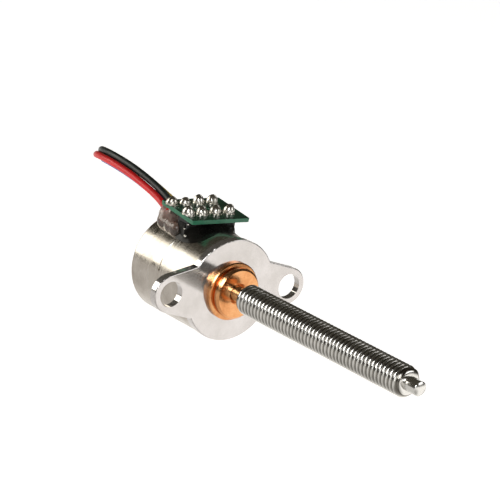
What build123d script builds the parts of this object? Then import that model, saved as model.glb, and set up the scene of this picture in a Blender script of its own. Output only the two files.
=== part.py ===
from build123d import *
import math
import os

# A 10 mm two-phase permanent-magnet stepper motor with an M3 x 0.5 lead screw.
# Frame: the origin is the centre of the mounting plate's front face, on the screw's axis.
# +X runs along the screw away from the motor, +Z up through the circuit board.

# ---------------------------------------------------------------- driving dimensions (mm)
# mounting plate
plate_radius = 5.0
plate_thickness = 0.75
ear_hole_spacing = 14.0
ear_hole_radius = 1.25
ear_tip_radius = 1.85
ear_web_radius = 3.5
ear_root_fillet = 0.9
plate_edge_round = 0.12

# steel cups, yokes and claw poles
body_length = 9.65
cup_radius = 4.9
cup_wall = 0.35
cup_corner_round = 0.3
yoke_thickness = 0.3
yoke_radius = 4.5
claw_count = 5
front_cup_claw_angle = 90
front_yoke_claw_angle = 126
rear_yoke_claw_angle = 108
rear_cup_claw_angle = 144
claw_inner_radius = 2.55
claw_outer_radius = 2.85
claw_root_width = 1.9
claw_tip_width = 1.0
claw_tip_gap = 0.35
seam_chamfer = 0.06

# bobbins and coils
bobbin_inner_radius = 2.9
bobbin_core_radius = 3.12
bobbin_flange_radius = 4.45
bobbin_flange_thickness = 0.25
coil_outer_radius = 4.2
stack_gap = 0.02

# rotor
journal_radius = 0.75
running_gap = 0.02
hub_radius = 1.35
magnet_radius = 2.35
washer_radius = 1.3
washer_thickness = 0.15
front_end_play = 0.07
rear_end_play = 0.05
magnet_setback = 0.15
shaft_rear_reach = 0.5
spring_thickness = 0.1
spring_inner_radius = 0.95
magnet_edge_chamfer = 0.1

# lead screw, M3 x 0.5
thread_major_radius = 1.475
thread_root_radius = 1.17
thread_pitch = 0.5
thread_start = 2.45
ridge_count = 47
end_ridge_radius = 1.36
tip_radius = 0.7
tip_end = 27.5
tip_chamfer = 0.08
crest_share = 0.125
root_share = 0.25

# bushing and rear bearing
bushing_spigot_radius = 2.0
bushing_back_ring_radius = 2.85
bushing_collar_radius = 2.5
bushing_groove_radius = 2.25
bushing_face_radius = 2.3
bushing_length = 1.2
bushing_ring_end_x = 0.42
bushing_groove_start_x = 0.5
bushing_groove_end_x = 0.58
bushing_collar_start_x = 0.74
bushing_collar_end_x = 1.0
bushing_edge_break = 0.1
bushing_press_depth = 0.25
bushing_bore_chamfer = 0.27
bearing_radius = 1.6
bearing_flange_radius = 2.0
bearing_flange_thickness = 0.4
bearing_press_depth = 0.2
cap_radius = 2.35
cap_wall = 0.22
cap_depth = 0.85
cap_edge_round = 0.2
cap_clearance = 0.02

# terminal block and pins
block_depth = 1.5
block_half_width = 2.85
block_foot_half_width = 2.2
block_foot_radius = 4.52
block_lowest_z = 3.0
window_gap = 0.03
pin_count = 4
pin_pitch = 1.6
pin_radius = 0.16
pin_foot_z = 4.6
pin_top_z = 6.75

# circuit board
board_width = 6.8
board_length = 5.2
board_thickness = 0.4
board_front_x = -3.6
board_front_z = 5.48
board_centre_y = 0.43
board_pitch = 6.0
board_corner_round = 0.1
board_hole_radius = 0.24
wire_hole_offset = 4.15
wire_hole_pitch = 1.6
wire_hole_centre_y = -0.2
joint_base_radius = 0.62
pin_joint_height = 0.85
wire_joint_height = 0.7
joint_waist_radius = 0.36
joint_tip_radius = 0.2

# lead wires
wire_radius = 0.35
core_radius = 0.14
core_bend_radius = 0.25
core_end_margin = 0.1
bare_tip_length = 2.4
bare_tip_radius = 0.2
arc_share = 0.45

# sealants
block_seal_spread = 0.75
block_seal_low_z = 3.2
block_seal_top_z = 5.15
wire_seal_rear_x = -9.3
wire_seal_low_y = -2.9
wire_seal_high_y = 2.4
wire_seal_low_z = 3.0
wire_seal_round = 0.5

# ---------------------------------------------------------------- derived positions
rear_face_x = -body_length
seam_x = -(plate_thickness + body_length) / 2
front_wall_x = -plate_thickness - cup_wall
rear_wall_x = rear_face_x + cup_wall
claw_pitch_angle = 360 / claw_count
bushing_rear_x = front_wall_x - bushing_press_depth
bearing_front_x = rear_wall_x + bearing_press_depth
hub_front_x = bushing_rear_x - front_end_play - washer_thickness
hub_rear_x = bearing_front_x + spring_thickness + rear_end_play + washer_thickness
magnet_front_x = hub_front_x - magnet_setback
magnet_rear_x = hub_rear_x + magnet_setback
shaft_rear_x = rear_face_x - shaft_rear_reach
bore_radius = journal_radius + running_gap
block_front_x = seam_x + block_depth / 2
block_rear_x = seam_x - block_depth / 2

board_tilt = math.radians(board_pitch)
board_plane = Plane(
    origin=(board_front_x, board_centre_y, board_front_z),
    x_dir=(-math.cos(board_tilt), 0, math.sin(board_tilt)),
    z_dir=(math.sin(board_tilt), 0, math.cos(board_tilt)),
)
board_top_plane = board_plane.offset(board_thickness)
pin_ys = [(index - (pin_count - 1) / 2) * pin_pitch for index in range(pin_count)]
wire_ys = [
    wire_hole_centre_y + (index - (pin_count - 1) / 2) * wire_hole_pitch
    for index in range(pin_count)
]
pin_row_offset = (board_front_x - seam_x) / math.cos(board_tilt)

os.makedirs("parts", exist_ok=True)


def claw_ring(root_x, tip_x, first_angle):
    """Five tapered pole claws around the axis, standing on the wall at root_x."""
    with BuildPart() as claws:
        for index in range(claw_count):
            angle = math.radians(first_angle + index * claw_pitch_angle)
            radial = Plane(
                origin=(0, 0, 0),
                x_dir=(1, 0, 0),
                z_dir=(0, math.cos(angle), math.sin(angle)),
            )
            with BuildSketch(radial):
                with BuildLine():
                    Polyline(
                        (root_x, -claw_root_width / 2),
                        (root_x, claw_root_width / 2),
                        (tip_x, claw_tip_width / 2),
                        (tip_x, -claw_tip_width / 2),
                        close=True,
                    )
                make_face()
            extrude(amount=claw_outer_radius + 1)
        with BuildSketch(Plane.YZ.offset(min(root_x, tip_x))):
            Circle(claw_outer_radius)
            Circle(claw_inner_radius, mode=Mode.SUBTRACT)
        extrude(amount=abs(root_x - tip_x), mode=Mode.INTERSECT)
    return claws.part


def ring(start_x, end_x, outer_radius, inner_radius):
    """A plain ring about the screw's axis, between two X positions."""
    with BuildPart() as plain_ring:
        with BuildSketch(Plane.YZ.offset(min(start_x, end_x))):
            Circle(outer_radius)
            Circle(inner_radius, mode=Mode.SUBTRACT)
        extrude(amount=abs(end_x - start_x))
    return plain_ring.part


def terminal_window():
    """The opening in both cups that the terminal block's foot drops through."""
    with BuildPart() as window:
        with BuildSketch(Plane.XY.offset(cup_radius / 2)):
            with Locations((seam_x, 0)):
                Rectangle(
                    block_depth + 2 * window_gap,
                    2 * (block_foot_half_width + window_gap),
                )
        extrude(amount=cup_radius)
    return window.part


def solder_joint(location_x, location_y, height):
    """A volcano-shaped fillet of solder standing on the board's top face."""
    base = board_top_plane.from_local_coords((location_x, board_centre_y - location_y, 0))
    with BuildPart() as joint:
        with BuildSketch(Plane(origin=base, x_dir=board_plane.x_dir, z_dir=(0, 1, 0))):
            with BuildLine():
                Line((0, 0), (joint_base_radius, 0))
                Spline(
                    (joint_base_radius, 0),
                    (joint_waist_radius, height * 0.5),
                    (joint_tip_radius, height * 0.93),
                    (0, height),
                    tangents=[(-0.6, 1), (-1, 0)],
                )
                Line((0, height), (0, 0))
            make_face()
        revolve(axis=Axis(base, board_plane.z_dir))
    return joint.part


def corner_radii(route):
    """Arc radius at each inner point: as large as its two runs allow."""
    points = [Vector(*point) for point in route]
    radii = []
    for before, corner, after in zip(points, points[1:], points[2:]):
        turn = math.radians((corner - before).get_angle(after - corner))
        shorter_run = min((corner - before).length, (after - corner).length)
        radii.append(arc_share * shorter_run / math.tan(turn / 2))
    return radii


# ---------------------------------------------------------------- mounting plate
with BuildPart() as flange_plate:
    with BuildSketch(Plane.YZ.offset(-plate_thickness)) as plate_outline:
        Circle(ear_web_radius)
        with Locations((ear_hole_spacing / 2, 0), (-ear_hole_spacing / 2, 0)):
            Circle(ear_tip_radius)
        make_hull()
        Circle(plate_radius)
        ear_roots = [
            vertex
            for vertex in plate_outline.vertices()
            if abs(math.hypot(vertex.Y, vertex.Z) - plate_radius) < 0.01
            and abs(vertex.Y) > plate_radius / 2
            and abs(vertex.Z) > 1
        ]
        fillet(ear_roots, ear_root_fillet)
        Circle(bushing_spigot_radius, mode=Mode.SUBTRACT)
        with Locations((ear_hole_spacing / 2, 0), (-ear_hole_spacing / 2, 0)):
            Circle(ear_hole_radius, mode=Mode.SUBTRACT)
    extrude(amount=plate_thickness)
    front_face = flange_plate.faces().sort_by(Axis.X)[-1]
    fillet(front_face.outer_wire().edges(), plate_edge_round)
flange_plate.part.label = "flange_plate"
export_step(flange_plate.part, "parts/flange_plate.step")

# ---------------------------------------------------------------- cups with their claw poles
window = terminal_window()
front_cup_claws = claw_ring(front_wall_x, seam_x + yoke_thickness + claw_tip_gap, front_cup_claw_angle)
with BuildPart() as front_cup:
    with BuildSketch(Plane.YZ.offset(seam_x)):
        Circle(cup_radius)
    extrude(amount=-plate_thickness - seam_x)
    chamfer(front_cup.faces().sort_by(Axis.X)[0].edges(), seam_chamfer)
    with BuildSketch(Plane.YZ.offset(seam_x)):
        Circle(cup_radius - cup_wall)
    extrude(amount=front_wall_x - seam_x, mode=Mode.SUBTRACT)
    with BuildSketch(Plane.YZ.offset(front_wall_x)):
        Circle(claw_inner_radius)
    extrude(amount=cup_wall, mode=Mode.SUBTRACT)
    add(front_cup_claws)
    add(window, mode=Mode.SUBTRACT)
front_cup.part.label = "front_cup"
export_step(front_cup.part, "parts/front_cup.step")

rear_cup_claws = claw_ring(rear_wall_x, seam_x - yoke_thickness - claw_tip_gap, rear_cup_claw_angle)
with BuildPart() as rear_cup:
    with BuildSketch(Plane.YZ.offset(rear_face_x)):
        Circle(cup_radius)
    extrude(amount=seam_x - rear_face_x)
    fillet(rear_cup.faces().sort_by(Axis.X)[0].edges(), cup_corner_round)
    chamfer(rear_cup.faces().sort_by(Axis.X)[-1].edges(), seam_chamfer)
    with BuildSketch(Plane.YZ.offset(rear_wall_x)):
        Circle(cup_radius - cup_wall)
    extrude(amount=seam_x - rear_wall_x, mode=Mode.SUBTRACT)
    with BuildSketch(Plane.YZ.offset(rear_face_x)):
        Circle(bearing_radius)
    extrude(amount=cup_wall, mode=Mode.SUBTRACT)
    add(rear_cup_claws)
    add(window, mode=Mode.SUBTRACT)
rear_cup.part.label = "rear_cup"
export_step(rear_cup.part, "parts/rear_cup.step")

# ---------------------------------------------------------------- inner yokes
front_yoke_claws = claw_ring(seam_x + yoke_thickness, front_wall_x - claw_tip_gap, front_yoke_claw_angle)
with BuildPart() as front_inner_yoke:
    add(ring(seam_x, seam_x + yoke_thickness, yoke_radius, claw_inner_radius))
    add(front_yoke_claws)
front_inner_yoke.part.label = "front_inner_yoke"
export_step(front_inner_yoke.part, "parts/front_inner_yoke.step")

rear_yoke_claws = claw_ring(seam_x - yoke_thickness, rear_wall_x + claw_tip_gap, rear_yoke_claw_angle)
with BuildPart() as rear_inner_yoke:
    add(ring(seam_x, seam_x - yoke_thickness, yoke_radius, claw_inner_radius))
    add(rear_yoke_claws)
rear_inner_yoke.part.label = "rear_inner_yoke"
export_step(rear_inner_yoke.part, "parts/rear_inner_yoke.step")

# ---------------------------------------------------------------- bobbins and coils, front and rear
coil_bays = {
    "front": (seam_x + yoke_thickness + stack_gap, front_wall_x - stack_gap),
    "rear": (rear_wall_x + stack_gap, seam_x - yoke_thickness - stack_gap),
}
for bay_name, (bay_start, bay_end) in coil_bays.items():
    with BuildPart() as bobbin:
        add(ring(bay_start, bay_end, bobbin_core_radius, bobbin_inner_radius))
        add(ring(bay_start, bay_start + bobbin_flange_thickness, bobbin_flange_radius, bobbin_core_radius))
        add(ring(bay_end - bobbin_flange_thickness, bay_end, bobbin_flange_radius, bobbin_core_radius))
    bobbin.part.label = f"{bay_name}_bobbin"
    export_step(bobbin.part, f"parts/{bay_name}_bobbin.step")

    with BuildPart() as coil:
        add(
            ring(
                bay_start + bobbin_flange_thickness + stack_gap,
                bay_end - bobbin_flange_thickness - stack_gap,
                coil_outer_radius,
                bobbin_core_radius + stack_gap,
            )
        )
    coil.part.label = f"{bay_name}_coil"
    export_step(coil.part, f"parts/{bay_name}_coil.step")

# ---------------------------------------------------------------- front bushing, sintered bronze
with BuildPart() as front_bushing:
    with BuildSketch(Plane.XY):
        with BuildLine():
            Polyline(
                (bushing_rear_x, bore_radius),
                (bushing_rear_x, bushing_spigot_radius - bushing_edge_break),
                (bushing_rear_x + bushing_edge_break, bushing_spigot_radius),
                (0, bushing_spigot_radius),
                (0, bushing_back_ring_radius),
                (bushing_ring_end_x - bushing_edge_break, bushing_back_ring_radius),
                (bushing_ring_end_x, bushing_back_ring_radius - bushing_edge_break),
                (bushing_groove_start_x, bushing_groove_radius),
                (bushing_groove_end_x, bushing_groove_radius),
                (bushing_collar_start_x - bushing_edge_break, bushing_collar_radius - bushing_edge_break),
                (bushing_collar_start_x, bushing_collar_radius),
                (bushing_collar_end_x, bushing_collar_radius),
                (bushing_length, bushing_face_radius),
                (bushing_length, bore_radius + bushing_bore_chamfer),
                (bushing_length - bushing_bore_chamfer, bore_radius),
                close=True,
            )
        make_face()
    revolve(axis=Axis.X)
front_bushing.part.label = "front_bushing"
export_step(front_bushing.part, "parts/front_bushing.step")

# ---------------------------------------------------------------- rear bearing, spring and cap
with BuildPart() as rear_bearing:
    add(ring(rear_face_x, bearing_front_x, bearing_radius, bore_radius))
    add(ring(rear_face_x - bearing_flange_thickness, rear_face_x, bearing_flange_radius, bore_radius))
rear_bearing.part.label = "rear_bearing"
export_step(rear_bearing.part, "parts/rear_bearing.step")

with BuildPart() as preload_spring:
    add(ring(bearing_front_x, bearing_front_x + spring_thickness, washer_radius, spring_inner_radius))
preload_spring.part.label = "preload_spring"
export_step(preload_spring.part, "parts/preload_spring.step")

with BuildPart() as rear_cap:
    add(ring(rear_face_x - cap_depth, rear_face_x, cap_radius, bearing_flange_radius + cap_clearance))
    with BuildSketch(Plane.YZ.offset(rear_face_x - cap_depth)):
        Circle((cap_radius + bearing_flange_radius) / 2)
    extrude(amount=cap_wall)
    fillet(rear_cap.faces().sort_by(Axis.X)[0].edges(), cap_edge_round)
rear_cap.part.label = "rear_cap"
export_step(rear_cap.part, "parts/rear_cap.step")

# ---------------------------------------------------------------- rotor
with BuildPart() as rotor_hub:
    add(ring(hub_rear_x, hub_front_x, hub_radius, journal_radius))
rotor_hub.part.label = "rotor_hub"
export_step(rotor_hub.part, "parts/rotor_hub.step")

with BuildPart() as rotor_magnet:
    add(ring(magnet_rear_x, magnet_front_x, magnet_radius, hub_radius))
    chamfer(rotor_magnet.edges().filter_by(GeomType.CIRCLE).group_by(SortBy.RADIUS)[-1], magnet_edge_chamfer)
rotor_magnet.part.label = "rotor_magnet"
export_step(rotor_magnet.part, "parts/rotor_magnet.step")

with BuildPart() as front_thrust_washer:
    add(ring(hub_front_x, hub_front_x + washer_thickness, washer_radius, journal_radius))
front_thrust_washer.part.label = "front_thrust_washer"
export_step(front_thrust_washer.part, "parts/front_thrust_washer.step")

with BuildPart() as rear_thrust_washer:
    add(ring(hub_rear_x - washer_thickness, hub_rear_x, washer_radius, journal_radius))
rear_thrust_washer.part.label = "rear_thrust_washer"
export_step(rear_thrust_washer.part, "parts/rear_thrust_washer.step")

# ---------------------------------------------------------------- lead screw
# The thread is a row of ridges at the true pitch, depth and flank angle, with a lower ridge
# at each end as a chamfer leaves it. The whole shaft is one turned profile.
ridge_half_crest = thread_pitch * crest_share / 2
ridge_half_base = thread_pitch * (1 - root_share) / 2
thread_end = thread_start + ridge_count * thread_pitch

profile = [(shaft_rear_x, 0), (shaft_rear_x, journal_radius), (thread_start, journal_radius)]
profile.append((thread_start, thread_root_radius))
for index in range(ridge_count):
    ridge_x = thread_start + (index + 0.5) * thread_pitch
    is_end_ridge = index in (0, ridge_count - 1)
    crest_radius = end_ridge_radius if is_end_ridge else thread_major_radius
    profile.append((ridge_x - ridge_half_base, thread_root_radius))
    profile.append((ridge_x - ridge_half_crest, crest_radius))
    profile.append((ridge_x + ridge_half_crest, crest_radius))
    profile.append((ridge_x + ridge_half_base, thread_root_radius))
profile.append((thread_end, thread_root_radius))
profile.append((thread_end, tip_radius))
profile.append((tip_end - tip_chamfer, tip_radius))
profile.append((tip_end, tip_radius - tip_chamfer))
profile.append((tip_end, 0))

with BuildPart() as lead_screw:
    with BuildSketch(Plane.XY):
        with BuildLine():
            Polyline(*profile, close=True)
        make_face()
    revolve(axis=Axis.X)
lead_screw.part.label = "lead_screw"
export_step(lead_screw.part, "parts/lead_screw.step")

# ---------------------------------------------------------------- terminal block and its pins
with BuildPart() as terminal_pins:
    with BuildSketch(Plane.XY.offset(pin_foot_z)):
        with Locations(*[(seam_x, pin_y) for pin_y in pin_ys]):
            Circle(pin_radius)
    extrude(amount=pin_top_z - pin_foot_z)
terminal_pins.part.label = "terminal_pins"
export_step(terminal_pins.part, "parts/terminal_pins.step")

with BuildPart() as terminal_block:
    with BuildSketch(Plane.YZ.offset(block_rear_x)):
        with Locations((0, block_lowest_z)):
            Rectangle(2 * block_half_width, pin_top_z - block_lowest_z, align=(Align.CENTER, Align.MIN))
        Circle(cup_radius, mode=Mode.SUBTRACT)
    extrude(amount=block_depth)
    with BuildSketch(Plane.YZ.offset(block_rear_x)):
        with Locations((0, cup_radius)):
            Rectangle(2 * block_foot_half_width, 2 * (cup_radius - pin_foot_z) + block_depth)
        Circle(block_foot_radius, mode=Mode.SUBTRACT)
    extrude(amount=block_depth)
    split(bisect_by=board_plane, keep=Keep.BOTTOM)
    add(terminal_pins.part, mode=Mode.SUBTRACT)
terminal_block.part.label = "terminal_block"
export_step(terminal_block.part, "parts/terminal_block.step")

# ---------------------------------------------------------------- circuit board
with BuildPart() as circuit_board:
    with BuildSketch(board_plane):
        with Locations((board_length / 2, 0)):
            RectangleRounded(board_length, board_width, board_corner_round)
        with Locations(*[(pin_row_offset, board_centre_y - pin_y) for pin_y in pin_ys]):
            Circle(board_hole_radius, mode=Mode.SUBTRACT)
        with Locations(*[(wire_hole_offset, board_centre_y - wire_y) for wire_y in wire_ys]):
            Circle(board_hole_radius, mode=Mode.SUBTRACT)
    extrude(amount=board_thickness)
circuit_board.part.label = "circuit_board"
export_step(circuit_board.part, "parts/circuit_board.step")

# ---------------------------------------------------------------- lead wires
# Each wire starts under the board, just behind its own hole. The four gather into a bundle,
# rise behind the board and bend away to +Y. The points are the corners of the runs.
lead_routes = {
    "lead_red": [
        (-8.05, -2.5, 5.4), (-9.2, -2.0, 5.35), (-11.0, -1.35, 5.6), (-12.95, -1.25, 6.04),
        (-15.15, -1.3, 6.48), (-17.35, -1.3, 6.78), (-19.7, -1.2, 6.9), (-22.0, -0.85, 6.82),
        (-23.9, -0.1, 6.5), (-25.6, 1.0, 6.05), (-27.6, 2.4, 5.45), (-30.0, 4.1, 4.75),
        (-32.5, 6.0, 4.0), (-35.0, 7.8, 3.3),
    ],
    "lead_black": [
        (-8.05, -1.0, 5.4), (-9.2, -1.05, 5.55), (-10.9, -0.85, 6.1), (-12.85, -0.75, 6.56),
        (-15.1, -0.78, 7.0), (-17.3, -0.78, 7.3), (-19.6, -0.68, 7.42), (-21.85, -0.35, 7.35),
        (-23.8, 0.35, 7.05), (-25.5, 1.45, 6.6), (-27.5, 2.85, 6.0), (-29.8, 4.5, 5.3),
        (-32.4, 6.5, 4.55), (-35.1, 8.5, 3.73),
    ],
    "lead_blue": [
        (-8.05, 0.6, 5.4), (-9.25, 0.1, 5.25), (-11.0, -0.55, 5.2), (-13.0, -0.62, 5.62),
        (-15.2, -0.66, 6.05), (-17.35, -0.66, 6.35), (-19.6, -0.56, 6.49), (-21.7, -0.2, 6.43),
        (-23.55, 0.55, 6.13), (-25.2, 1.65, 5.7), (-27.2, 3.05, 5.1), (-29.5, 4.75, 4.4),
        (-32.1, 6.7, 3.6), (-34.9, 8.9, 2.69),
    ],
    "lead_yellow": [
        (-8.05, 2.2, 5.4), (-9.1, 1.35, 5.2), (-10.6, 0.42, 5.22), (-12.6, 0.0, 6.0),
        (-15.1, -0.16, 6.6), (-17.3, -0.16, 6.9), (-19.5, -0.05, 7.03), (-21.5, 0.3, 6.98),
        (-23.3, 1.05, 6.7), (-24.95, 2.15, 6.27), (-26.9, 3.6, 5.65), (-29.2, 5.3, 4.95),
        (-31.7, 7.25, 4.2), (-34.5, 9.53, 3.32),
    ],
}
wires = []
for wire_name, route in lead_routes.items():
    radii = corner_radii(route)
    with BuildPart() as lead_wire:
        with BuildLine() as wire_path:
            FilletPolyline(*route, radius=radii)
        with BuildSketch(Plane(origin=wire_path.line @ 0, z_dir=wire_path.line % 0)):
            Circle(wire_radius)
        sweep()
    lead_wire.part.label = wire_name
    export_step(lead_wire.part, f"parts/{wire_name}.step")
    wires.append(lead_wire.part)
    tube_length = sum(edge.length for edge in wire_path.edges())
    section_volume = math.pi * wire_radius**2 * tube_length
    print(wire_name, "length", round(tube_length, 2), "mm")
    print("   arc radii", [round(radius, 1) for radius in radii])
    print("   volume over section x length", round(lead_wire.part.volume / section_volume, 4))

# The bare conductor runs on from the insulation's end, turns up and passes through the board.
hole_x = board_plane.from_local_coords((wire_hole_offset, 0, board_thickness / 2)).X
joint_top = board_top_plane.from_local_coords((wire_hole_offset, 0, wire_joint_height - core_end_margin))
with BuildPart() as wire_cores:
    for route, wire_y in zip(lead_routes.values(), wire_ys):
        with BuildLine() as core_path:
            FilletPolyline(
                route[0],
                (hole_x, wire_y, route[0][2]),
                (hole_x, wire_y, joint_top.Z),
                radius=core_bend_radius,
            )
        with BuildSketch(Plane(origin=core_path.line @ 0, z_dir=core_path.line % 0)) as core_section:
            Circle(core_radius)
        sweep(sections=core_section.sketch, path=core_path.line)
wire_cores.part.label = "wire_cores"
export_step(wire_cores.part, "parts/wire_cores.step")

# At the far end the insulation is stripped and the strands are tinned.
with BuildPart() as bare_tips:
    for route in lead_routes.values():
        wire_end = Vector(*route[-1])
        end_direction = wire_end - Vector(*route[-2])
        with BuildSketch(Plane(origin=wire_end, z_dir=end_direction)):
            Circle(bare_tip_radius)
        extrude(amount=bare_tip_length)
bare_tips.part.label = "bare_tips"
export_step(bare_tips.part, "parts/bare_tips.step")

# ---------------------------------------------------------------- solder joints
with BuildPart() as pin_joints:
    for pin_y in pin_ys:
        add(solder_joint(pin_row_offset, pin_y, pin_joint_height))
    add(terminal_pins.part, mode=Mode.SUBTRACT)
pin_joints.part.label = "pin_joints"
export_step(pin_joints.part, "parts/pin_joints.step")

with BuildPart() as wire_joints:
    for wire_y in wire_ys:
        add(solder_joint(wire_hole_offset, wire_y, wire_joint_height))
    add(wire_cores.part, mode=Mode.SUBTRACT)
wire_joints.part.label = "wire_joints"
export_step(wire_joints.part, "parts/wire_joints.step")

# ---------------------------------------------------------------- sealants
# Black epoxy seals the terminal block to the cups all round its foot.
with BuildPart() as block_sealant:
    with BuildSketch(Plane.XY.offset(block_seal_low_z)):
        with Locations((seam_x, 0)):
            Rectangle(block_depth + 2 * block_seal_spread, 2 * (block_half_width + block_seal_spread))
    with BuildSketch(Plane.XY.offset(block_seal_top_z)):
        with Locations((seam_x, 0)):
            Rectangle(block_depth + 0.1, 2 * block_half_width + 0.1)
    loft()
    with BuildSketch(Plane.YZ.offset(rear_face_x)):
        Circle(cup_radius)
    extrude(amount=body_length, mode=Mode.SUBTRACT)
    with BuildSketch(Plane.YZ.offset(block_rear_x)):
        with Locations((0, block_seal_low_z)):
            Rectangle(2 * block_half_width, 6)
    extrude(amount=block_depth, mode=Mode.SUBTRACT)
block_sealant.part.label = "block_sealant"
export_step(block_sealant.part, "parts/block_sealant.step")

# A clear lump holds the wires between the rear cup and the underside of the board.
with BuildPart() as wire_sealant:
    with BuildSketch(Plane.XY.offset(wire_seal_low_z)):
        with Locations((wire_seal_rear_x, wire_seal_low_y)):
            Rectangle(
                block_rear_x - block_seal_spread - wire_seal_rear_x,
                wire_seal_high_y - wire_seal_low_y,
                align=(Align.MIN, Align.MIN),
            )
    extrude(amount=board_front_z)
    fillet(wire_sealant.edges().filter_by(Axis.Z), wire_seal_round)
    split(bisect_by=board_plane, keep=Keep.BOTTOM)
    with BuildSketch(Plane.YZ.offset(rear_face_x)):
        Circle(cup_radius)
    extrude(amount=body_length, mode=Mode.SUBTRACT)
    for wire in wires:
        add(wire, mode=Mode.SUBTRACT)
    add(wire_cores.part, mode=Mode.SUBTRACT)
wire_sealant.part.label = "wire_sealant"
export_step(wire_sealant.part, "parts/wire_sealant.step")
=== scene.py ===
import math

import bmesh
import bpy
from mathutils import Matrix, Vector, noise


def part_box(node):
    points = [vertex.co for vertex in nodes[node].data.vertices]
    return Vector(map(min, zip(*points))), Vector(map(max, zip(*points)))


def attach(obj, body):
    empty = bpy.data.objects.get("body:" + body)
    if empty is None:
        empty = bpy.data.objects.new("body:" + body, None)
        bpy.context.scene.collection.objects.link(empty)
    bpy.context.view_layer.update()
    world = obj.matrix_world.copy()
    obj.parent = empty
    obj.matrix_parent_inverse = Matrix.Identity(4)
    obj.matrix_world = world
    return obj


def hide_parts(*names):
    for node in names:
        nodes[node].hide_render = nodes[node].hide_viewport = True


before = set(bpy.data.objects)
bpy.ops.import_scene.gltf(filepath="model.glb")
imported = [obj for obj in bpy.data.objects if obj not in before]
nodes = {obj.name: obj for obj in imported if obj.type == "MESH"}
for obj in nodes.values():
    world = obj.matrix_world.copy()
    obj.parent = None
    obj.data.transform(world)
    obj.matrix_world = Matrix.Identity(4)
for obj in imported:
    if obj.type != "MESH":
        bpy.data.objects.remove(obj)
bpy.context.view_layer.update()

MM = 0.001

# ---------------------------------------------------------------- driving values (mm)
# lead screw, M3 x 0.5, right-hand
JOURNAL_RADIUS = 0.75
THREAD_START = 2.45
THREAD_END = 25.95
THREAD_MAJOR = 1.475
THREAD_ROOT = 1.17
PITCH = 0.5
CREST_SHARE = 0.125
ROOT_SHARE = 0.25
TIP_RADIUS = 0.7
EDGE_BREAK = 0.08
SCREW_SEGMENTS = 72

# motor body
CUP_RADIUS = 4.9
SEAM_X = -5.2
BLOCK_HALF_DEPTH = 0.75
BLOCK_HALF_WIDTH = 2.85

# circuit board
BOARD_ORIGIN = Vector((-3.6, 0.43, 5.48))
BOARD_PITCH = math.radians(6.0)
BOARD_THICKNESS = 0.4
PIN_OFFSET = 1.6 / math.cos(BOARD_PITCH)
WIRE_OFFSET = 4.15
PIN_YS = (-2.4, -0.8, 0.8, 2.4)
WIRE_YS = (-2.6, -1.0, 0.6, 2.2)

# lead wires
WIRE_DIAMETER = 0.7
LEAD_ROUTES = {
    "lead_red": [
        (-8.05, -2.5, 5.4), (-9.2, -2.0, 5.35), (-11.0, -1.35, 5.6), (-12.95, -1.25, 6.04),
        (-15.15, -1.3, 6.48), (-17.35, -1.3, 6.78), (-19.7, -1.2, 6.9), (-22.0, -0.85, 6.82),
        (-23.9, -0.1, 6.5), (-25.6, 1.0, 6.05), (-27.6, 2.4, 5.45), (-30.0, 4.1, 4.75),
        (-32.5, 6.0, 4.0), (-35.0, 7.8, 3.3),
    ],
    "lead_black": [
        (-8.05, -1.0, 5.4), (-9.2, -1.05, 5.55), (-10.9, -0.85, 6.1), (-12.85, -0.75, 6.56),
        (-15.1, -0.78, 7.0), (-17.3, -0.78, 7.3), (-19.6, -0.68, 7.42), (-21.85, -0.35, 7.35),
        (-23.8, 0.35, 7.05), (-25.5, 1.45, 6.6), (-27.5, 2.85, 6.0), (-29.8, 4.5, 5.3),
        (-32.4, 6.5, 4.55), (-35.1, 8.5, 3.73),
    ],
    "lead_blue": [
        (-8.05, 0.6, 5.4), (-9.25, 0.1, 5.25), (-11.0, -0.55, 5.2), (-13.0, -0.62, 5.62),
        (-15.2, -0.66, 6.05), (-17.35, -0.66, 6.35), (-19.6, -0.56, 6.49), (-21.7, -0.2, 6.43),
        (-23.55, 0.55, 6.13), (-25.2, 1.65, 5.7), (-27.2, 3.05, 5.1), (-29.5, 4.75, 4.4),
        (-32.1, 6.7, 3.6), (-34.9, 8.9, 2.69),
    ],
    "lead_yellow": [
        (-8.05, 2.2, 5.4), (-9.1, 1.35, 5.2), (-10.6, 0.42, 5.22), (-12.6, 0.0, 6.0),
        (-15.1, -0.16, 6.6), (-17.3, -0.16, 6.9), (-19.5, -0.05, 7.03), (-21.5, 0.3, 6.98),
        (-23.3, 1.05, 6.7), (-24.95, 2.15, 6.27), (-26.9, 3.6, 5.65), (-29.2, 5.3, 4.95),
        (-31.7, 7.25, 4.2), (-34.5, 9.53, 3.32),
    ],
}


# ---------------------------------------------------------------- camera
camera_data = bpy.data.cameras.new("camera")
camera_data.lens = 187.9
camera_data.sensor_width = 36
camera_data.clip_start = 0.01
camera_data.clip_end = 20
camera = bpy.data.objects.new("camera", camera_data)
bpy.context.scene.collection.objects.link(camera)
camera_right = Vector((0.59986, 0.78576, 0.15083))
camera_back = Vector((0.74216, -0.61688, 0.26203)).normalized()
camera_up = camera_back.cross(camera_right).normalized()
camera_right = camera_up.cross(camera_back)
camera_axes = Matrix((camera_right, camera_up, camera_back)).transposed()
camera_place = Vector((182.354, -150.0584, 68.2999)) * MM
camera.matrix_world = Matrix.Translation(camera_place) @ camera_axes.to_4x4()
bpy.context.scene.camera = camera


# ---------------------------------------------------------------- material helpers
def new_material(name):
    material = bpy.data.materials.new(name)
    material.use_nodes = True
    shader = material.node_tree.nodes["Principled BSDF"]
    return material, material.node_tree, shader


def coordinates(tree, scale):
    """Object coordinates stretched by scale along X, Y and Z, in features per metre."""
    source = tree.nodes.new("ShaderNodeTexCoord")
    mapping = tree.nodes.new("ShaderNodeMapping")
    mapping.inputs["Scale"].default_value = scale
    tree.links.new(source.outputs["Object"], mapping.inputs["Vector"])
    return mapping.outputs["Vector"]


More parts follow.
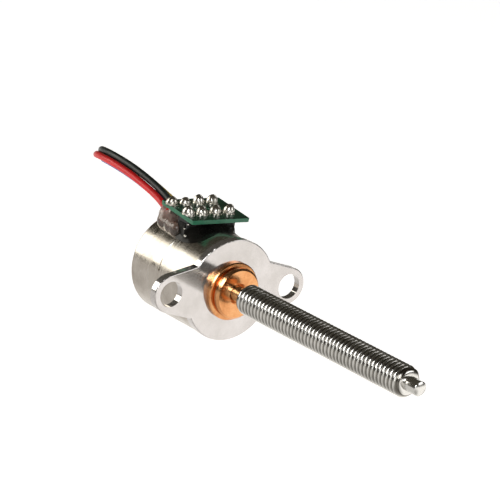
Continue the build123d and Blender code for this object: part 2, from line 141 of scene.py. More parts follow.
def noise_texture(tree, scale, detail=4.0, roughness=0.55, distortion=0.0):
    texture = tree.nodes.new("ShaderNodeTexNoise")
    texture.inputs["Scale"].default_value = 1.0
    texture.inputs["Detail"].default_value = detail
    texture.inputs["Roughness"].default_value = roughness
    texture.inputs["Distortion"].default_value = distortion
    tree.links.new(coordinates(tree, scale), texture.inputs["Vector"])
    return texture.outputs["Fac"]


def ramp(tree, value, stops):
    """A colour ramp with (position, colour) stops."""
    node = tree.nodes.new("ShaderNodeValToRGB")
    elements = node.color_ramp.elements
    elements[0].position = stops[0][0]
    elements[0].color = (*stops[0][1], 1)
    elements[1].position = stops[-1][0]
    elements[1].color = (*stops[-1][1], 1)
    for position, colour in stops[1:-1]:
        elements.new(position).color = (*colour, 1)
    tree.links.new(value, node.inputs["Fac"])
    return node.outputs["Color"]


def spread(tree, value, low, high, from_low=0.3, from_high=0.7):
    """Maps the middle of a noise to a range of numbers."""
    node = tree.nodes.new("ShaderNodeMapRange")
    node.inputs["From Min"].default_value = from_low
    node.inputs["From Max"].default_value = from_high
    node.inputs["To Min"].default_value = low
    node.inputs["To Max"].default_value = high
    tree.links.new(value, node.inputs["Value"])
    return node.outputs["Result"]


def bump(tree, shader, heights):
    """Adds bumps one on another. Each is (height output, distance in metres, strength)."""
    normal = None
    for height, distance, strength in heights:
        node = tree.nodes.new("ShaderNodeBump")
        node.inputs["Distance"].default_value = distance
        node.inputs["Strength"].default_value = strength
        tree.links.new(height, node.inputs["Height"])
        if normal is not None:
            tree.links.new(normal, node.inputs["Normal"])
        normal = node.outputs["Normal"]
    tree.links.new(normal, shader.inputs["Normal"])


def metal(name, dark, light, rough, streaks, marks=0.25, shine=1.0):
    """A metal with slow stains, streaks in the direction it was worked, and a fine grain."""
    material, tree, shader = new_material(name)
    shader.inputs["Metallic"].default_value = shine
    stains = noise_texture(tree, (420, 420, 420), detail=6, roughness=0.6)
    worked = noise_texture(tree, streaks, detail=5, roughness=0.7)
    fine = noise_texture(tree, (9000, 9000, 9000), detail=3)
    tree.links.new(ramp(tree, stains, [(0.3, dark), (0.68, light)]), shader.inputs["Base Color"])
    tree.links.new(spread(tree, worked, rough[0], rough[1]), shader.inputs["Roughness"])
    bump(tree, shader, [(worked, 0.000004, marks), (fine, 0.000002, 0.3)])
    return material


def plastic(name, dark, light, rough, grain_scale=7000, grain_depth=0.000006, coat=0.0):
    """A moulded or extruded plastic with a fine skin texture and slight shade changes."""
    material, tree, shader = new_material(name)
    shader.inputs["Coat Weight"].default_value = coat
    shader.inputs["Coat Roughness"].default_value = 0.08
    shade = noise_texture(tree, (900, 900, 900), detail=5)
    skin = noise_texture(tree, (grain_scale, grain_scale, grain_scale), detail=3)
    tree.links.new(ramp(tree, shade, [(0.3, dark), (0.7, light)]), shader.inputs["Base Color"])
    tree.links.new(spread(tree, shade, rough[0], rough[1]), shader.inputs["Roughness"])
    bump(tree, shader, [(skin, grain_depth, 0.35)])
    return material


# ---------------------------------------------------------------- materials
AROUND = (2600, 130, 130)  # streaks that run round the screw's axis
PLATE_GRAIN = (900, 700, 2400)  # short rolling streaks across the flange plate

can_steel = metal("can_steel", (0.49, 0.445, 0.39), (0.69, 0.645, 0.59), (0.15, 0.3), AROUND, marks=0.15)
cap_steel = metal("cap_steel", (0.50, 0.48, 0.43), (0.64, 0.62, 0.57), (0.16, 0.3), AROUND)
plate_steel = metal(
    "plate_steel", (0.63, 0.6, 0.58), (0.74, 0.71, 0.7), (0.07, 0.15), PLATE_GRAIN, marks=0.2, shine=0.9
)
yoke_steel = metal("yoke_steel", (0.4, 0.39, 0.37), (0.52, 0.51, 0.49), (0.3, 0.45), (600, 600, 2000))
spring_steel = metal("spring_steel", (0.3, 0.3, 0.32), (0.42, 0.42, 0.44), (0.2, 0.35), AROUND)
pin_metal = metal("pin_metal", (0.66, 0.65, 0.6), (0.8, 0.79, 0.76), (0.15, 0.3), (900, 900, 900))
solder = metal("solder", (0.58, 0.55, 0.48), (0.84, 0.82, 0.77), (0.2, 0.3), (300, 300, 300), marks=0.05)
tinned = metal("tinned_copper", (0.62, 0.56, 0.48), (0.78, 0.75, 0.7), (0.18, 0.34), (600, 4000, 4000))

block_plastic = plastic("block_plastic", (0.006, 0.007, 0.007), (0.02, 0.021, 0.022), (0.28, 0.45))
bobbin_plastic = plastic("bobbin_plastic", (0.62, 0.58, 0.48), (0.74, 0.7, 0.6), (0.35, 0.5))
hub_plastic = plastic("hub_plastic", (0.6, 0.6, 0.57), (0.72, 0.72, 0.68), (0.35, 0.5))
washer_plastic = plastic("washer_plastic", (0.72, 0.7, 0.64), (0.84, 0.82, 0.77), (0.3, 0.45))
magnet_ferrite = plastic("magnet_ferrite", (0.02, 0.02, 0.022), (0.05, 0.05, 0.054), (0.5, 0.7), 5000)
wire_colours = {
    "lead_red": ((0.58, 0.006, 0.008), (0.74, 0.012, 0.014)),
    "lead_black": ((0.008, 0.011, 0.010), (0.02, 0.026, 0.024)),
    "lead_blue": ((0.012, 0.05, 0.30), (0.02, 0.075, 0.40)),
    "lead_yellow": ((0.62, 0.40, 0.02), (0.74, 0.50, 0.03)),
}
wire_materials = {
    name: plastic(name + "_pvc", dark, light, (0.34, 0.5), 5200, 0.000008)
    for name, (dark, light) in wire_colours.items()
}


def sintered_bronze():
    """Turned sintered bronze: copper-orange, fine turning rings, scattered pores."""
    material, tree, shader = new_material("sintered_bronze")
    shader.inputs["Metallic"].default_value = 1.0
    tarnish = noise_texture(tree, (520, 520, 520), detail=6, roughness=0.65)
    turned = noise_texture(tree, (5200, 120, 120), detail=4, roughness=0.7)
    pores = noise_texture(tree, (7000, 7000, 7000), detail=2)
    shades = [(0.28, (0.60, 0.23, 0.08)), (0.5, (0.84, 0.40, 0.17)), (0.72, (0.95, 0.55, 0.27))]
    tree.links.new(ramp(tree, tarnish, shades), shader.inputs["Base Color"])
    tree.links.new(spread(tree, turned, 0.12, 0.28), shader.inputs["Roughness"])
    pits = spread(tree, pores, 0.0, 1.0, 0.28, 0.42)
    bump(tree, shader, [(turned, 0.000006, 0.4), (pits, 0.000008, 0.35)])
    return material


def steel_with_painted_thread_shade():
    """Rolled thread steel with painted shade: the base colour is darkened down in the thread root and
    part way up the flanks, so the crests look brighter.
    """
    material = metal("screw_steel", (0.72, 0.71, 0.68), (0.88, 0.87, 0.84), (0.13, 0.26), AROUND)
    tree = material.node_tree
    shader = tree.nodes["Principled BSDF"]
    radius = tree.nodes.new("ShaderNodeVectorMath")
    radius.operation = "LENGTH"
    tree.links.new(coordinates(tree, (0, 500, 500)), radius.inputs[0])
    # Painted shade: the colour is multiplied darker by radius, darkest at the thread root.
    unshaded, painted_root_shade, half_painted_shade = (1, 1, 1), (0.22, 0.21, 0.19), (0.62, 0.61, 0.59)
    stops = [(0.55, unshaded), (0.575, painted_root_shade), (0.615, painted_root_shade), (0.665, half_painted_shade), (0.71, unshaded)]
    mix = tree.nodes.new("ShaderNodeMix")
    mix.data_type = "RGBA"
    mix.blend_type = "MULTIPLY"
    mix.inputs["Factor"].default_value = 1.0
    steel = shader.inputs["Base Color"].links[0].from_socket
    tree.links.new(steel, mix.inputs["A"])
    tree.links.new(ramp(tree, radius.outputs["Value"], stops), mix.inputs["B"])
    tree.links.new(mix.outputs["Result"], shader.inputs["Base Color"])
    return material


def board_laminate():
    """Green solder mask on the faces, paler cut laminate with glass layers on the edges."""
    material, tree, shader = new_material("board_laminate")
    shader.inputs["Coat Weight"].default_value = 0.35
    shader.inputs["Coat Roughness"].default_value = 0.12
    source = tree.nodes.new("ShaderNodeTexCoord")
    facing = tree.nodes.new("ShaderNodeVectorMath")
    facing.operation = "DOT_PRODUCT"
    facing.inputs[1].default_value = (math.sin(BOARD_PITCH), 0, math.cos(BOARD_PITCH))
    tree.links.new(source.outputs["Normal"], facing.inputs[0])
    upright = tree.nodes.new("ShaderNodeMath")
    upright.operation = "ABSOLUTE"
    tree.links.new(facing.outputs["Value"], upright.inputs[0])
    is_face = spread(tree, upright.outputs["Value"], 0.0, 1.0, 0.45, 0.55)
    mask = noise_texture(tree, (1500, 1500, 1500), detail=5)
    weave = noise_texture(tree, (900, 900, 14000), detail=3)
    mask_colour = ramp(tree, mask, [(0.3, (0.002, 0.042, 0.02)), (0.7, (0.005, 0.078, 0.038))])
    edge_colour = ramp(tree, weave, [(0.3, (0.01, 0.115, 0.055)), (0.7, (0.03, 0.21, 0.11))])
    mix = tree.nodes.new("ShaderNodeMix")
    mix.data_type = "RGBA"
    tree.links.new(is_face, mix.inputs["Factor"])
    tree.links.new(edge_colour, mix.inputs["A"])
    tree.links.new(mask_colour, mix.inputs["B"])
    tree.links.new(mix.outputs["Result"], shader.inputs["Base Color"])
    tree.links.new(spread(tree, is_face, 0.5, 0.2, 0.0, 1.0), shader.inputs["Roughness"])
    bump(tree, shader, [(weave, 0.000008, 0.3), (mask, 0.00001, 0.2)])
    return material


def copper_winding():
    """Enamelled copper wire seen as close-laid turns, with painted shade darkening the grooves between
    turns.
    """
    material, tree, shader = new_material("copper_winding")
    shader.inputs["Metallic"].default_value = 0.85
    turns = tree.nodes.new("ShaderNodeTexWave")
    turns.bands_direction = "X"
    turns.inputs["Scale"].default_value = 1.0
    turns.inputs["Distortion"].default_value = 0.4
    tree.links.new(coordinates(tree, (3200, 3200, 3200)), turns.inputs["Vector"])
    # Painted shade: the colour darkens towards the groove between neighbouring turns.
    shades = [(0.0, (0.22, 0.07, 0.03)), (1.0, (0.66, 0.27, 0.12))]
    tree.links.new(ramp(tree, turns.outputs["Fac"], shades), shader.inputs["Base Color"])
    tree.links.new(spread(tree, turns.outputs["Fac"], 0.45, 0.22, 0.0, 1.0), shader.inputs["Roughness"])
    bump(tree, shader, [(turns.outputs["Fac"], 0.00003, 0.6)])
    return material


def black_epoxy():
    """Cured potting compound: nearly black, wet gloss, small waves."""
    material, tree, shader = new_material("black_epoxy")
    shader.inputs["Specular IOR Level"].default_value = 0.14
    shader.inputs["Coat Weight"].default_value = 0.05
    shader.inputs["Coat Roughness"].default_value = 0.04
    waves = noise_texture(tree, (750, 750, 750), detail=3)
    specks = noise_texture(tree, (4200, 4200, 4200), detail=3)
    shades = [(0.3, (0.004, 0.004, 0.004)), (0.7, (0.016, 0.015, 0.013))]
    tree.links.new(ramp(tree, waves, shades), shader.inputs["Base Color"])
    tree.links.new(spread(tree, specks, 0.14, 0.3), shader.inputs["Roughness"])
    bump(tree, shader, [(waves, 0.00006, 0.5), (specks, 0.000006, 0.3)])
    return material


def clear_adhesive():
    """Milky translucent adhesive: pinkish higher up, darker and browner lower down on the cup."""
    material, tree, shader = new_material("clear_adhesive")
    shader.inputs["IOR"].default_value = 1.47
    shader.inputs["Transmission Weight"].default_value = 0.45
    shader.inputs["Coat Weight"].default_value = 0.5
    shader.inputs["Coat Roughness"].default_value = 0.08
    cloud = noise_texture(tree, (650, 650, 650), detail=5)
    waves = noise_texture(tree, (1000, 1000, 1000), detail=2)
    place = tree.nodes.new("ShaderNodeSeparateXYZ")
    tree.links.new(coordinates(tree, (1, 1, 1)), place.inputs["Vector"])
    height = spread(tree, place.outputs["Z"], 0.0, 0.72, 0.0042, 0.0056)
    level = tree.nodes.new("ShaderNodeMath")
    level.operation = "MULTIPLY_ADD"
    level.inputs[1].default_value = 0.55
    tree.links.new(cloud, level.inputs[0])
    tree.links.new(height, level.inputs[2])
    shades = [(0.25, (0.075, 0.055, 0.042)), (0.6, (0.30, 0.20, 0.16)), (0.95, (0.72, 0.54, 0.48))]
    tree.links.new(ramp(tree, level.outputs["Value"], shades), shader.inputs["Base Color"])
    tree.links.new(spread(tree, cloud, 0.12, 0.3), shader.inputs["Roughness"])
    bump(tree, shader, [(waves, 0.00003, 0.35)])
    return material


bronze = sintered_bronze()
screw_steel = steel_with_painted_thread_shade()
board_material = board_laminate()
winding = copper_winding()
epoxy = black_epoxy()
adhesive = clear_adhesive()
trace_mask = plastic("trace_mask", (0.006, 0.10, 0.05), (0.012, 0.15, 0.075), (0.2, 0.32), coat=0.35)

NODE_MATERIALS = {
    "flange_plate": plate_steel,
    "front_cup": can_steel,
    "rear_cup": can_steel,
    "rear_cap": cap_steel,
    "front_bushing": bronze,
    "rear_bearing": bronze,
    "lead_screw": screw_steel,
    "front_inner_yoke": yoke_steel,
    "rear_inner_yoke": yoke_steel,
    "preload_spring": spring_steel,
    "terminal_block": block_plastic,
    "terminal_pins": pin_metal,
    "circuit_board": board_material,
    "pin_joints": solder,
    "wire_joints": solder,
    "wire_cores": tinned,
    "bare_tips": tinned,
    "front_bobbin": bobbin_plastic,
    "rear_bobbin": bobbin_plastic,
    "front_coil": winding,
    "rear_coil": winding,
    "rotor_magnet": magnet_ferrite,
    "rotor_hub": hub_plastic,
    "front_thrust_washer": washer_plastic,
    "rear_thrust_washer": washer_plastic,
    "block_sealant": epoxy,
    "wire_sealant": adhesive,
    **wire_materials,
}
for node_name, material in NODE_MATERIALS.items():
    nodes[node_name].data.materials.clear()
    nodes[node_name].data.materials.append(material)


# ---------------------------------------------------------------- mesh helpers
def mesh_object(name, build, material, body, sharp_angle=35):
    """A mesh made by build(bmesh), in mm, that rides on a CAD body."""
    made = bmesh.new()
    build(made)
    bmesh.ops.remove_doubles(made, verts=made.verts, dist=0.0005)
    bmesh.ops.recalc_face_normals(made, faces=made.faces)
    bmesh.ops.scale(made, vec=(MM, MM, MM), verts=made.verts)
    mesh = bpy.data.meshes.new(name)
    made.to_mesh(mesh)
    made.free()
    mesh.shade_smooth()
    mesh.set_sharp_from_angle(angle=math.radians(sharp_angle))
    mesh.materials.append(material)
    piece = bpy.data.objects.new(name, mesh)
    bpy.context.scene.collection.objects.link(piece)
    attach(piece, body)
    return piece


def bridge(made, ring_a, ring_b):
    """Faces between two closed rings of equal length."""
    count = len(ring_a)
    for index in range(count):
        after = (index + 1) % count
        made.faces.new((ring_a[index], ring_a[after], ring_b[after], ring_b[index]))


def cap(made, ring, centre):
    """A fan that closes a ring."""
    middle = made.verts.new(centre)
    for index, vertex in enumerate(ring):
        made.faces.new((vertex, ring[(index + 1) % len(ring)], middle))


# ---------------------------------------------------------------- lead screw with its real helix
def build_screw(made):
    def circle(x, radius):
        ring = []
        for index in range(SCREW_SEGMENTS):
            angle = 2 * math.pi * index / SCREW_SEGMENTS
            ring.append(made.verts.new((x, radius * math.cos(angle), radius * math.sin(angle))))
        return ring

    rear_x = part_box("lead_screw")[0].x / MM
    tip_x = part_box("lead_screw")[1].x / MM
    rear_rings = [
        circle(rear_x, JOURNAL_RADIUS - EDGE_BREAK),
        circle(rear_x + EDGE_BREAK, JOURNAL_RADIUS),
        circle(THREAD_START, JOURNAL_RADIUS),
        circle(THREAD_START, THREAD_ROOT),
    ]
    tip_rings = [
        circle(THREAD_END, THREAD_ROOT),
        circle(THREAD_END, TIP_RADIUS),
        circle(tip_x - EDGE_BREAK, TIP_RADIUS),
        circle(tip_x, TIP_RADIUS - EDGE_BREAK),
    ]
    for rings in (rear_rings, tip_rings):
        for ring_a, ring_b in zip(rings, rings[1:]):
            bridge(made, ring_a, ring_b)
    cap(made, rear_rings[0], (rear_x, 0, 0))
    cap(made, tip_rings[-1], (tip_x, 0, 0))

    # One pitch of the thread as (share of the pitch, radius), with a rounded root and crest.
    flank = (1 - CREST_SHARE - ROOT_SHARE) / 2
    depth = THREAD_MAJOR - THREAD_ROOT
    section = [
        (0.0, THREAD_ROOT),
        (ROOT_SHARE / 2, THREAD_ROOT + depth * 0.05),
        (ROOT_SHARE / 2 + flank * 0.5, THREAD_ROOT + depth * 0.5),
        (ROOT_SHARE / 2 + flank, THREAD_MAJOR - depth * 0.08),
        (0.5, THREAD_MAJOR),
        (ROOT_SHARE / 2 + flank + CREST_SHARE, THREAD_MAJOR - depth * 0.08),
        (ROOT_SHARE / 2 + flank * 1.5 + CREST_SHARE, THREAD_ROOT + depth * 0.5),
        (1 - ROOT_SHARE / 2, THREAD_ROOT + depth * 0.05),
    ]
    turns = round((THREAD_END - THREAD_START) / PITCH) + 2
    columns = []
    for index in range(SCREW_SEGMENTS):
        angle = 2 * math.pi * index / SCREW_SEGMENTS
        column = []
        for turn in range(turns):
            for share, radius in section:
                x = THREAD_START + (turn - 1 + share + index / SCREW_SEGMENTS) * PITCH
                x = min(max(x, THREAD_START), THREAD_END)
                end_distance = min(x - THREAD_START, THREAD_END - x)
                radius = min(radius, THREAD_ROOT + end_distance)
                column.append(made.verts.new((x, radius * math.cos(angle), radius * math.sin(angle))))
        columns.append(column)
    for index in range(SCREW_SEGMENTS):
        after = columns[(index + 1) % SCREW_SEGMENTS]
        shift = len(section) if index == SCREW_SEGMENTS - 1 else 0
        for row in range(len(columns[0]) - 1 - shift):
            corners = (columns[index][row], columns[index][row + 1])
            corners += (after[row + 1 + shift], after[row + shift])
            made.faces.new(corners)


screw = mesh_object("screw_with_thread", build_screw, screw_steel, "rotor", 50)
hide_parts("lead_screw")


# ---------------------------------------------------------------- black sealant round the block
SEAL_TOP_Z = 5.3
SEAL_SKIN = 0.05
SEAL_FRONT_SPREAD = 2.9
SEAL_REAR_SPREAD = 0.6
SEAL_SIDE_SPREAD = 0.45
SEAL_DRIFT = 0.3  # the foot has run a little towards the flange
SEAL_FLARE_POWER = 2.4  # how late the sealant spreads on its way down
SEAL_DROP_POWER = 1.7  # how early it falls towards the cups
SEAL_TOP_SQUARENESS = 7
SEAL_SQUARENESS_LOSS = 4.2
SEAL_LUMPINESS = 0.12
SEAL_SINK = 0.03  # the foot reaches this far into the cups, so no gap shows
SEAL_RINGS = 18
SEAL_SEGMENTS = 120


def seal_point(share, angle):
    """A point on the sealant, from its share of the way down and its angle about the block."""
    flare = share**SEAL_FLARE_POWER
    power = 2 / (SEAL_TOP_SQUARENESS - SEAL_SQUARENESS_LOSS * share)
    cosine, sine = math.cos(angle), math.sin(angle)
    spread_x = SEAL_FRONT_SPREAD if cosine > 0 else SEAL_REAR_SPREAD
    half_x = BLOCK_HALF_DEPTH + SEAL_SKIN + spread_x * flare
    half_y = BLOCK_HALF_WIDTH + SEAL_SKIN + SEAL_SIDE_SPREAD * flare
    x = math.copysign(half_x * abs(cosine) ** power, cosine)
    y = math.copysign(half_y * abs(sine) ** power, sine)
    lump = noise.noise(Vector((x * 0.9, y * 0.9, share * 1.6)))
    swell = 1 + SEAL_LUMPINESS * lump * math.sin(math.pi * share)
    x, y = x * swell, y * swell
    foot_z = math.sqrt(max(CUP_RADIUS**2 - y**2, 0.1)) - SEAL_SINK
    drop = 1 - (1 - share) ** SEAL_DROP_POWER
    z = SEAL_TOP_Z + (foot_z - SEAL_TOP_Z) * drop
    return Vector((SEAM_X + x + SEAL_DRIFT * flare, y, max(z, foot_z)))


def build_block_seal(made):
    """Rounded rings that hug the block at the top and run out in a hollow curve onto the cups."""
    rings = []
    for level in range(SEAL_RINGS):
        share = level / (SEAL_RINGS - 1)
        angles = [2 * math.pi * index / SEAL_SEGMENTS for index in range(SEAL_SEGMENTS)]
        rings.append([made.verts.new(seal_point(share, angle)) for angle in angles])
    for ring_a, ring_b in zip(rings, rings[1:]):
        bridge(made, ring_a, ring_b)


block_seal = mesh_object("block_seal_fillet", build_block_seal, epoxy, "stator", 70)
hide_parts("block_sealant")

# Stray beads of solder stuck to the sealant: (share of the way down, angle in degrees, radius).
BEADS = ((0.04, -55, 0.13), (0.24, -77, 0.1), (0.54, -73, 0.15))


def bead_builder(share, degrees, radius):
    def build(made):
        place = Matrix.Translation(seal_point(share, math.radians(degrees)))
        bmesh.ops.create_uvsphere(made, u_segments=24, v_segments=16, radius=radius, matrix=place)

    return build


for index, shape in enumerate(BEADS):
    mesh_object(f"solder_bead_{index + 1}", bead_builder(*shape), solder, "stator", 180)


# ---------------------------------------------------------------- adhesive that holds the wires
# Lumps as (centre, half sizes); they are fused and smoothed into one body.
GLUE_LUMPS = [
    ((-7.9, -1.0, 4.6), (1.55, 2.1, 0.95)),
    ((-8.9, -1.9, 4.95), (0.9, 0.95, 0.85)),
    ((-9.15, -1.45, 5.5), (0.72, 0.95, 0.66)),
    ((-8.5, -2.45, 5.15), (0.75, 0.6, 0.6)),
    ((-8.2, -2.5, 4.4), (1.1, 0.85, 0.85)),
    ((-7.0, -2.7, 4.3), (0.9, 0.7, 0.85)),
    ((-6.1, -2.95, 4.25), (0.75, 0.5, 0.8)),
    ((-7.3, 1.0, 4.75), (0.8, 1.3, 0.6)),
]
GLUE_VOXEL = 0.08
GLUE_SMOOTHING = 50
GLUE_SINK = 0.02
GLUE_RIPPLE = 0.08
BOARD_REAR_X = -8.77
BOARD_GAP = 0.005


def build_glue(made):
    for centre, half in GLUE_LUMPS:
        place = Matrix.Translation(centre) @ Matrix.Diagonal((*half, 1))
        bmesh.ops.create_icosphere(made, subdivisions=4, radius=1, matrix=place)


glue = mesh_object("wire_adhesive", build_glue, adhesive, "stator", 180)
fuse = glue.modifiers.new("fuse", "REMESH")
fuse.mode = "VOXEL"
fuse.voxel_size = GLUE_VOXEL * MM
soften = glue.modifiers.new("soften", "SMOOTH")
soften.iterations = GLUE_SMOOTHING
soften.factor = 0.6
evaluated = glue.evaluated_get(bpy.context.evaluated_depsgraph_get())
fused = bpy.data.meshes.new_from_object(evaluated)
glue.modifiers.clear()
for vertex in fused.vertices:
    # The lump sits on the cup and never passes through the board.
    x, y, z = vertex.co / MM
    distance = math.hypot(y, z)
    if distance < CUP_RADIUS - GLUE_SINK:
        z = math.sqrt(max((CUP_RADIUS - GLUE_SINK) ** 2 - y * y, 0))
    z += noise.noise(Vector((x, y, z))) * GLUE_RIPPLE
    if x > BOARD_REAR_X:
        board_underside = BOARD_ORIGIN.z + (BOARD_ORIGIN.x - x) * math.tan(BOARD_PITCH)
        z = min(z, board_underside - BOARD_GAP)
    vertex.co = Vector((x, y, z)) * MM
fused.shade_smooth()
fused.materials.clear()
fused.materials.append(adhesive)
glue.data = fused
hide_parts("wire_sealant")


# ---------------------------------------------------------------- board details
board_along = Vector((-math.cos(BOARD_PITCH), 0, math.sin(BOARD_PITCH)))
board_up = Vector((math.sin(BOARD_PITCH), 0, math.cos(BOARD_PITCH)))
board_across = Vector((0, 1, 0))


def board_point(along, y, height):
    """A point over the board's top face, from its distance behind the front edge and its Y."""
    start = Vector((BOARD_ORIGIN.x, 0, BOARD_ORIGIN.z))
    return start + board_along * along + board_across * y + board_up * (BOARD_THICKNESS + height)


JOINT_SEGMENTS = 28


def joint_builder(along, y, height, base_radius, lean, seed):
    """A dome of solder that leans a little and is not quite round."""
    rises = (0.0, 0.12, 0.26, 0.41, 0.56, 0.7, 0.82, 0.91, 0.97, 0.994)
    profile = [(math.sqrt(1 - rise * rise), rise) for rise in rises]

    def build(made):
        rings = []
        for width, rise in profile:
            ring = []
            for index in range(JOINT_SEGMENTS):
                angle = 2 * math.pi * index / JOINT_SEGMENTS
                spot = Vector((math.cos(angle) * width, math.sin(angle) * width, rise + seed))
                wobble = 1 + 0.1 * noise.noise(spot * 1.5) * (0.4 + rise)
                radius = base_radius * width * wobble
                shift = lean * rise * rise
                ring.append(
                    made.verts.new(
                        board_point(
                            along + radius * math.cos(angle) + shift[0],
                            y + radius * math.sin(angle) + shift[1],
                            height * rise,
                        )
                    )
                )
            rings.append(ring)
        for ring_a, ring_b in zip(rings, rings[1:]):
            bridge(made, ring_a, ring_b)
        cap(made, rings[-1], board_point(along + lean[0], y + lean[1], height))
        cap(made, rings[0], board_point(along, y, -0.01))

    return build


# One solder joint each, as (height, foot radius, lean of the tip).
PIN_JOINTS = [
    (0.85, 0.6, (0.0, -0.05)),
    (0.74, 0.55, (0.1, 0.0)),
    (0.8, 0.57, (0.05, 0.08)),
    (0.86, 0.55, (0.0, 0.1)),
]
WIRE_JOINTS = [
    (0.8, 0.6, (-0.08, 0.0)),
    (0.62, 0.52, (0.0, 0.06)),
    (0.84, 0.55, (0.06, 0.0)),
    (0.8, 0.56, (0.0, 0.05)),
]
joint_rows = (
    ("pin_joint", "pin_joints", PIN_OFFSET, PIN_YS, PIN_JOINTS),
    ("wire_joint", "wire_joints", WIRE_OFFSET, WIRE_YS, WIRE_JOINTS),
)
for piece_name, node_name, along, ys, shapes in joint_rows:
    for index, (y, (height, base_radius, lean)) in enumerate(zip(ys, shapes)):
        build = joint_builder(along, y, height, base_radius, Vector(lean), index * 3.7 + along)
        joint = mesh_object(f"{piece_name}_{index + 1}", build, solder, "stator", 60)
        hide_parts(node_name)


PAD_HEIGHT = 0.02
PAD_RADIUS = 0.68
HOLE_RADIUS = 0.24
PAD_SEGMENTS = 40


def pad_builder(along, y):
    """A tinned ring of copper round a hole."""
    steps = [(HOLE_RADIUS, 0.001), (HOLE_RADIUS, PAD_HEIGHT)]
    steps += [(PAD_RADIUS - 0.02, PAD_HEIGHT), (PAD_RADIUS, 0.001)]

    def build(made):
        rings = []
        for radius, height in steps:
            ring = []
            for index in range(PAD_SEGMENTS):
                angle = 2 * math.pi * index / PAD_SEGMENTS
                spot_along = along + radius * math.cos(angle)
                spot_y = y + radius * math.sin(angle)
                ring.append(made.verts.new(board_point(spot_along, spot_y, height)))
            rings.append(ring)
        for ring_a, ring_b in zip(rings, rings[1:] + rings[:1]):
            bridge(made, ring_a, ring_b)

    return build


TRACE_HALF_WIDTH = 0.17
TRACE_HEIGHT = 0.012
TRACE_STEPS = 12


def trace_builder(start_y, end_y):
    """A copper track under the mask, from a pin's pad to a wire's pad."""
    half = TRACE_HALF_WIDTH
    outline = [(-half, 0.0), (-half * 0.85, TRACE_HEIGHT), (half * 0.85, TRACE_HEIGHT), (half, 0.0)]

    def build(made):
        rows = []
        first = PIN_OFFSET + PAD_RADIUS - 0.05
        last = WIRE_OFFSET - PAD_RADIUS + 0.05
        for index in range(TRACE_STEPS + 1):
            share = index / TRACE_STEPS
            turn = share * share * (3 - 2 * share)
            along = first + (last - first) * share
            y = start_y + (end_y - start_y) * turn
            places = [board_point(along, y + side, height) for side, height in outline]
            rows.append([made.verts.new(place) for place in places])
        for row_a, row_b in zip(rows, rows[1:]):
            bridge(made, row_a, row_b)
        made.faces.new(rows[0])
        made.faces.new(rows[-1])

    return build


for index, (pin_y, wire_y) in enumerate(zip(PIN_YS, WIRE_YS)):
    mesh_object(f"pin_pad_{index + 1}", pad_builder(PIN_OFFSET, pin_y), solder, "stator")
    mesh_object(f"wire_pad_{index + 1}", pad_builder(WIRE_OFFSET, wire_y), solder, "stator")
    mesh_object(f"trace_{index + 1}", trace_builder(pin_y, wire_y), trace_mask, "stator")


# ---------------------------------------------------------------- spot welds on the seam
WELD_ANGLES = (8.0, -82.0, 172.0)
WELD_RADIUS = 0.16
WELD_HALF_HEIGHT = 0.06
WELD_SINK = 0.03
weld_steel = metal("weld_steel", (0.10, 0.085, 0.06), (0.24, 0.21, 0.17), (0.3, 0.5), (3000, 3000, 3000))


def weld_builder(degrees):
    angle = math.radians(degrees)
    outward = Vector((0, -math.cos(angle), math.sin(angle)))

    def build(made):
        centre = Vector((SEAM_X, 0, 0)) + outward * (CUP_RADIUS - WELD_SINK)
        turn = outward.to_track_quat("Z", "Y").to_matrix().to_4x4()
        sizes = Matrix.Diagonal((WELD_RADIUS, WELD_RADIUS, WELD_HALF_HEIGHT, 1))
        place = Matrix.Translation(centre) @ turn @ sizes
        bmesh.ops.create_uvsphere(made, u_segments=24, v_segments=12, radius=1, matrix=place)
        for vertex in made.verts:
            vertex.co += outward * 0.012 * noise.noise(vertex.co * 9)

    return build


for index, degrees in enumerate(WELD_ANGLES):
    mesh_object(f"seam_weld_{index + 1}", weld_builder(degrees), weld_steel, "stator")


# ---------------------------------------------------------------- lead wires
for lead_name, route in LEAD_ROUTES.items():
    curve = bpy.data.curves.new(lead_name + "_wire", "CURVE")
    curve.dimensions = "3D"
    spline = curve.splines.new("NURBS")
    spline.points.add(len(route) - 1)
    for point, place in zip(spline.points, route):
        point.co = (*(Vector(place) * MM), 1)
    spline.order_u = 3
    spline.use_endpoint_u = True
    spline.resolution_u = 12
    curve.bevel_depth = WIRE_DIAMETER * MM / 2
    curve.bevel_resolution = 6
    curve.use_fill_caps = True
    curve.materials.append(wire_materials[lead_name])
    wire = bpy.data.objects.new(lead_name + "_wire", curve)
    bpy.context.scene.collection.objects.link(wire)
    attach(wire, "stator")
    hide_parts(lead_name)


# ---------------------------------------------------------------- floor and backdrop
FLOOR_Z = -0.045
FLOOR_RADIUS = 6
WALL_RADIUS = 5.9
WALL_HEIGHT = 4


def stage_mesh(name, build, material):
    made = bmesh.new()
    build(made)
    mesh = bpy.data.meshes.new(name)
    made.to_mesh(mesh)
    made.free()
    mesh.materials.append(material)
    piece = bpy.data.objects.new(name, mesh)
    bpy.context.scene.collection.objects.link(piece)
    return piece


def paper(name, glow):
    material, _, shader = new_material(name)
    shader.inputs["Base Color"].default_value = (0.82, 0.82, 0.82, 1)
    shader.inputs["Roughness"].default_value = 0.9
    shader.inputs["Emission Color"].default_value = (1, 1, 1, 1)
    shader.inputs["Emission Strength"].default_value = glow
    return material


def build_floor(made):
    place = Matrix.Translation((0, 0, FLOOR_Z))
    bmesh.ops.create_circle(made, cap_ends=True, radius=FLOOR_RADIUS, segments=64, matrix=place)


def build_wall(made):
    place = Matrix.Translation((0, 0, WALL_HEIGHT / 2 + FLOOR_Z))
    radii = {"radius1": WALL_RADIUS, "radius2": WALL_RADIUS}
    bmesh.ops.create_cone(made, segments=64, depth=WALL_HEIGHT, matrix=place, **radii)


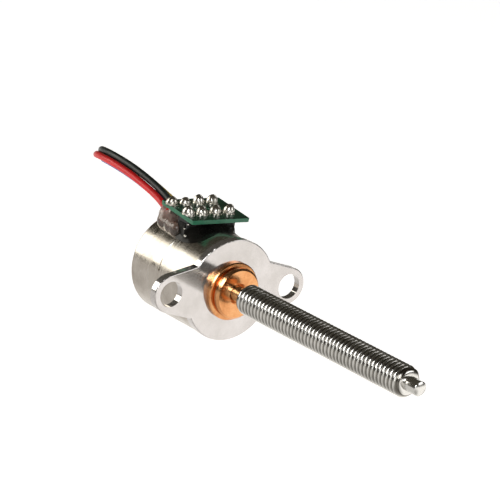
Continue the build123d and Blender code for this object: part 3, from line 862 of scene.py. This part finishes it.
floor = stage_mesh("floor", build_floor, paper("floor_paper", 0.8))
floor.visible_glossy = False
wall = stage_mesh("backdrop", build_wall, paper("wall_paper", 0.95))
wall.visible_glossy = False
wall.visible_diffuse = False
wall.visible_transmission = False
wall.visible_shadow = False

# ---------------------------------------------------------------- light
world = bpy.data.worlds.new("studio")
world.use_nodes = True
bpy.context.scene.world = world
studio = world.node_tree


def towards(direction, value_from, value_to):
    """How far a direction of the surroundings lies towards a given one, as a range of numbers."""
    source = studio.nodes.new("ShaderNodeTexCoord")
    product = studio.nodes.new("ShaderNodeVectorMath")
    product.operation = "DOT_PRODUCT"
    product.inputs[1].default_value = Vector(direction).normalized()
    studio.links.new(source.outputs["Generated"], product.inputs[0])
    node = studio.nodes.new("ShaderNodeMapRange")
    node.interpolation_type = "SMOOTHSTEP"
    node.inputs["From Min"].default_value = value_from[0]
    node.inputs["From Max"].default_value = value_from[1]
    node.inputs["To Min"].default_value = value_to[0]
    node.inputs["To Max"].default_value = value_to[1]
    studio.links.new(product.outputs["Value"], node.inputs["Value"])
    return node.outputs["Result"]


def times(value_a, value_b):
    node = studio.nodes.new("ShaderNodeMath")
    node.operation = "MULTIPLY"
    studio.links.new(value_a, node.inputs[0])
    studio.links.new(value_b, node.inputs[1])
    return node.outputs["Value"]


# Pale table below, brightest towards +Y, with a dark gap under the front; a dim room above.
table_light = towards((0, 0, -1), (-0.02, 0.14), (0.0, 1.0))
table_side = towards((0.25, 1, 0), (-0.6, 0.7), (0.62, 1.15))
table_gap = towards((0.74, 0.0, -0.67), (0.84, 0.97), (1.0, 0.4))
table_level = times(times(table_light, table_side), table_gap)
room = studio.nodes.new("ShaderNodeMix")
room.data_type = "RGBA"
room.inputs["A"].default_value = (0.050, 0.045, 0.034, 1)
room.inputs["B"].default_value = (1.0, 0.97, 0.93, 1)
room.clamp_factor = False
studio.links.new(table_level, room.inputs["Factor"])
studio.links.new(room.outputs["Result"], studio.nodes["Background"].inputs["Color"])


def softbox(name, direction, distance, width, height, radiance, colour=(1, 1, 1)):
    """A rectangular soft light that faces the object, given by its brightness."""
    data = bpy.data.lights.new(name, "AREA")
    data.shape = "RECTANGLE"
    data.size = width
    data.size_y = height
    data.energy = radiance * math.pi * width * height
    data.color = colour
    light = bpy.data.objects.new(name, data)
    place = Vector(direction).normalized() * distance
    light.location = place
    light.rotation_euler = place.to_track_quat("Z", "Y").to_euler()
    light.visible_camera = False
    bpy.context.scene.collection.objects.link(light)
    return light


softbox("left_softbox", (-0.74, -0.56, 0.27), 0.6, 0.5, 0.32, 3.0, (1.0, 0.975, 0.89))
softbox("front_key", (0.62, -0.62, 0.47), 0.8, 0.24, 0.36, 7.0)
softbox("front_low", (0.95, -0.30, 0.08), 0.7, 0.26, 0.22, 1.8)
softbox("right_fill", (0.8, 0.6, 0.35), 0.7, 0.4, 0.3, 2.0)
softbox("rear_fill", (-0.3, 0.9, 0.6), 0.9, 0.4, 0.3, 1.4)

bpy.context.scene.view_settings.view_transform = "Standard"
